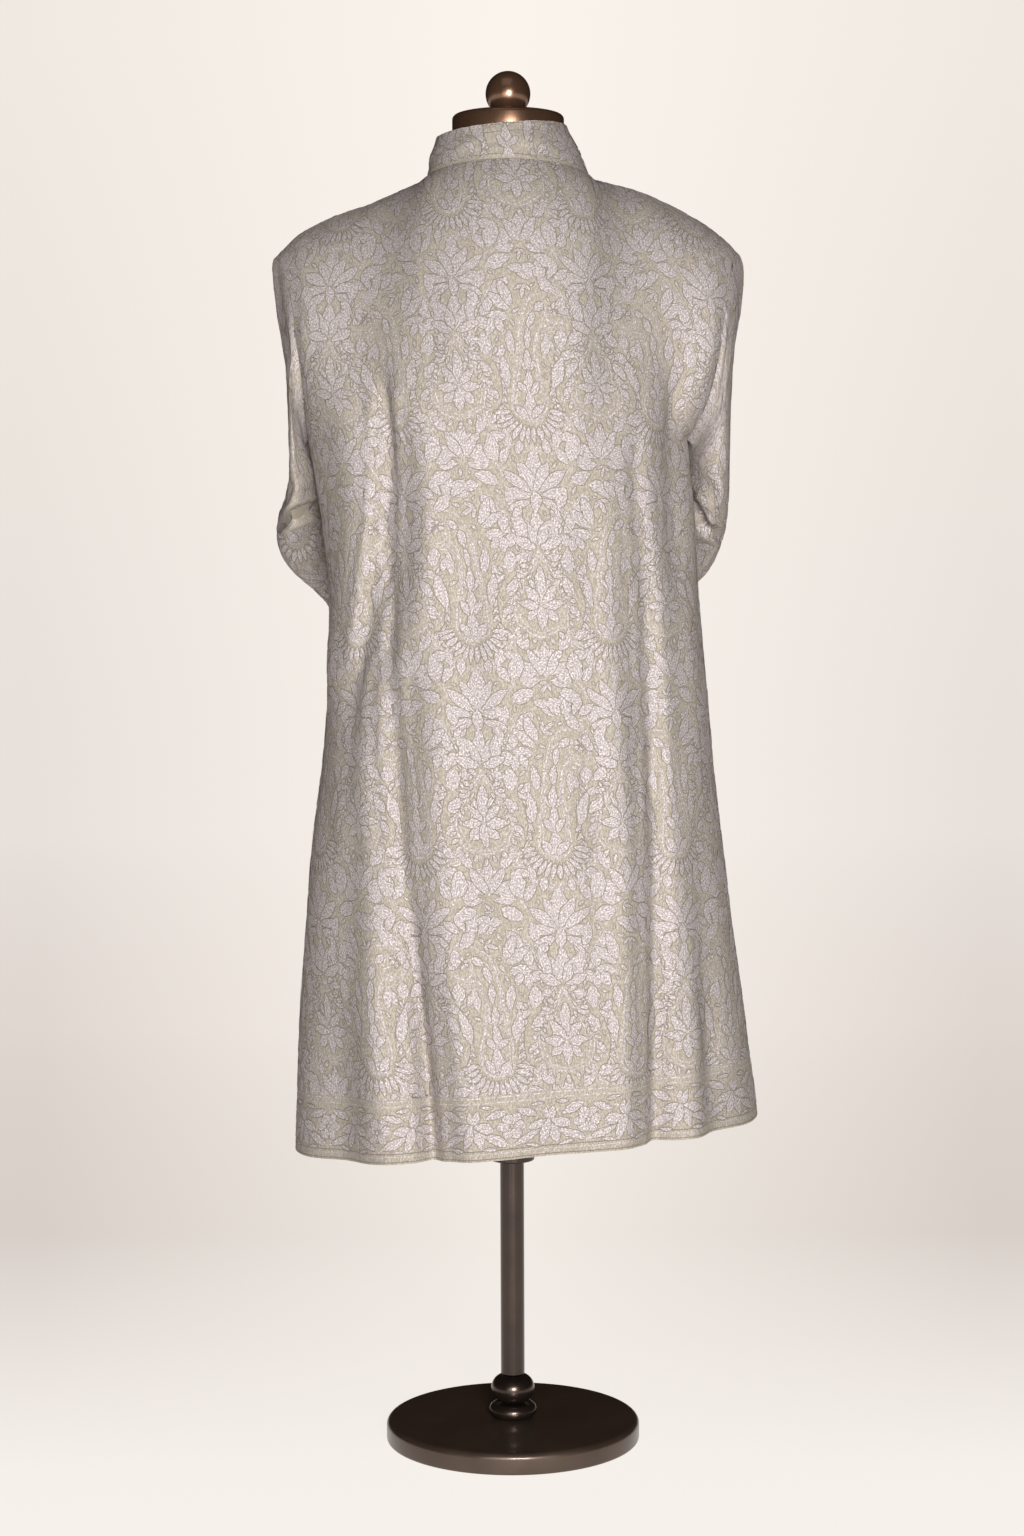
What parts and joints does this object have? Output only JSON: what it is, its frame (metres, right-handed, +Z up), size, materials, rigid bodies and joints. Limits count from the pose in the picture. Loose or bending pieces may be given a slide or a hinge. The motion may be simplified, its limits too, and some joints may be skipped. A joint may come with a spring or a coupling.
{
  "type": "long jacket on a dress form stand",
  "caption": "Long loose jacket with a stand collar and forward-bent sleeves, on a limbless dress form with a pole and disc base.",
  "frame": {"origin": "centre of the disc base's underside", "axes": "+Z up along the pole, +X towards the wearer's left, -Y the way the wearer faces, so the back shows towards +Y"},
  "size_m": [0.4993, 0.446, 1.4206],
  "materials": {
    "jacquard_cloth": "greige wool and silk cloth with a silver-lilac paisley and flower pattern, soft sheen",
    "form_linen": "plain natural linen cover",
    "dark_bronze": "dark bronze, polished"
  },
  "bodies": {
    "root": {"jacket_back": "jacquard_cloth", "jacket_front_left": "jacquard_cloth", "jacket_front_right": "jacquard_cloth", "sleeve_left": "jacquard_cloth", "sleeve_right": "jacquard_cloth", "stand_collar": "jacquard_cloth", "form_torso": "form_linen", "neck_cap": "dark_bronze", "ball_finial": "dark_bronze", "pole_rod": "dark_bronze", "pole_clamp": "dark_bronze", "pole": "dark_bronze", "foot_knob": "dark_bronze", "foot_ring": "dark_bronze", "base_disc": "dark_bronze"}
  },
  "joints": []
}
